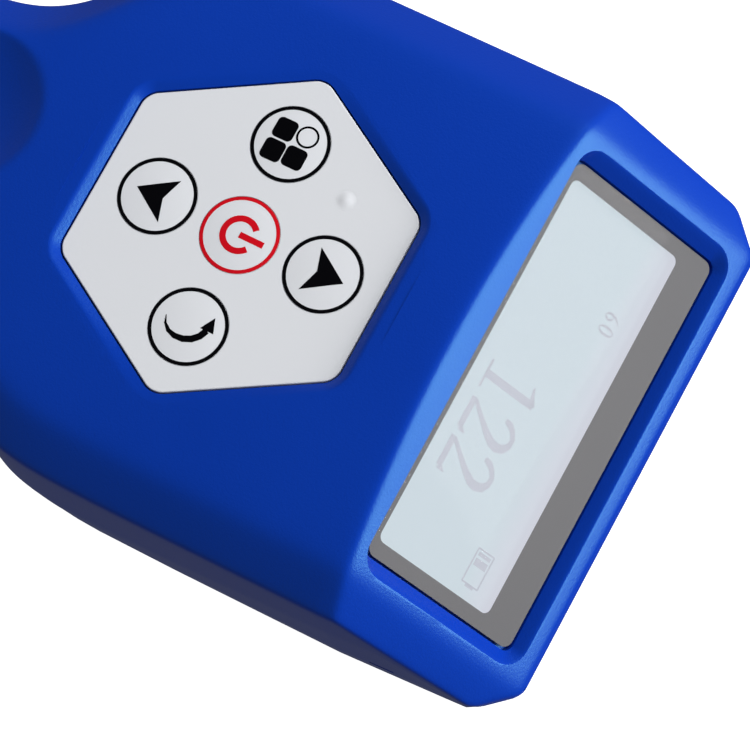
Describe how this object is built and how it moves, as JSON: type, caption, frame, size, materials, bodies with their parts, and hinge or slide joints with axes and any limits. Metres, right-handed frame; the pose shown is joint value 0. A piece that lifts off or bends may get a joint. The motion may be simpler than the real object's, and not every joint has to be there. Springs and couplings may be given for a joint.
{
  "type": "coating thickness gauge",
  "caption": "Hand-held coating thickness gauge with a sloped display hood, a hexagonal keypad on a crowned face, and a narrow neck with a spring-loaded measuring probe.",
  "frame": {"origin": "centre of the bounding box at the flat back", "axes": "+Y towards the display end, +Z out of the keypad face, +X to the reader's right"},
  "size_m": [0.066, 0.1172, 0.031],
  "materials": {
    "case_blue": "soft-touch blue plastic with a fine grain",
    "keypad": "satin white film",
    "lens": "clear flat lens with a grey border",
    "display": "pale liquid crystal glass",
    "light_guide": "milky white",
    "black_plastic": "moulded black",
    "flex": "amber film",
    "board": "green laminate",
    "copper": "enamelled copper winding",
    "cell": "printed steel can",
    "steel": "plated steel"
  },
  "bodies": {
    "case": {"front_shell": "case_blue", "rear_shell": "case_blue", "display_lens": "lens", "display_glass": "display", "backlight": "light_guide", "display_tray": "black_plastic", "display_flex": "flex", "keypad_panel": "keypad", "lamp_pip": "light_guide", "dome_switches": "steel", "main_board": "board", "processor": "black_plastic", "buzzer": "black_plastic", "probe_socket": "light_guide", "probe_lead": "black_plastic", "probe_sleeve": "steel", "probe_spring": "steel", "probe_cap": "black_plastic", "left_cell": "cell", "right_cell": "cell", "contact_springs": "steel", "contact_leaves": "steel", "board_screws": "steel", "case_screws": "steel"},
    "power": {"power_key": "keypad"},
    "menu": {"menu_key": "keypad"},
    "back": {"back_key": "keypad"},
    "up": {"up_key": "keypad"},
    "down": {"down_key": "keypad"},
    "probe": {"probe_plunger": "black_plastic", "probe_tip": "steel", "probe_coil": "copper"},
    "door": {"battery_door": "case_blue"}
  },
  "joints": [
    {"name": "power_press", "type": "slide", "parent": "case", "child": "power", "axis": [0, 0, -1], "range_m": [0, 0.0005], "stiffness_N_per_m": 1500},
    {"name": "menu_press", "type": "slide", "parent": "case", "child": "menu", "axis": [0, 0, -1], "range_m": [0, 0.0005], "stiffness_N_per_m": 1500},
    {"name": "back_press", "type": "slide", "parent": "case", "child": "back", "axis": [0, 0, -1], "range_m": [0, 0.0005], "stiffness_N_per_m": 1500},
    {"name": "up_press", "type": "slide", "parent": "case", "child": "up", "axis": [0, 0, -1], "range_m": [0, 0.0005], "stiffness_N_per_m": 1500},
    {"name": "down_press", "type": "slide", "parent": "case", "child": "down", "axis": [0, 0, -1], "range_m": [0, 0.0005], "stiffness_N_per_m": 1500},
    {"name": "probe_press", "type": "slide", "parent": "case", "child": "probe", "axis": [0, 1, 0], "range_m": [0, 0.0025], "stiffness_N_per_m": 400, "deforming": ["probe_spring"]},
    {"name": "door_swing", "type": "hinge", "parent": "case", "child": "door", "pos_m": [0, 0.0371, 0.0003], "axis": [1, 0, 0], "range_deg": [0, 80]}
  ]
}
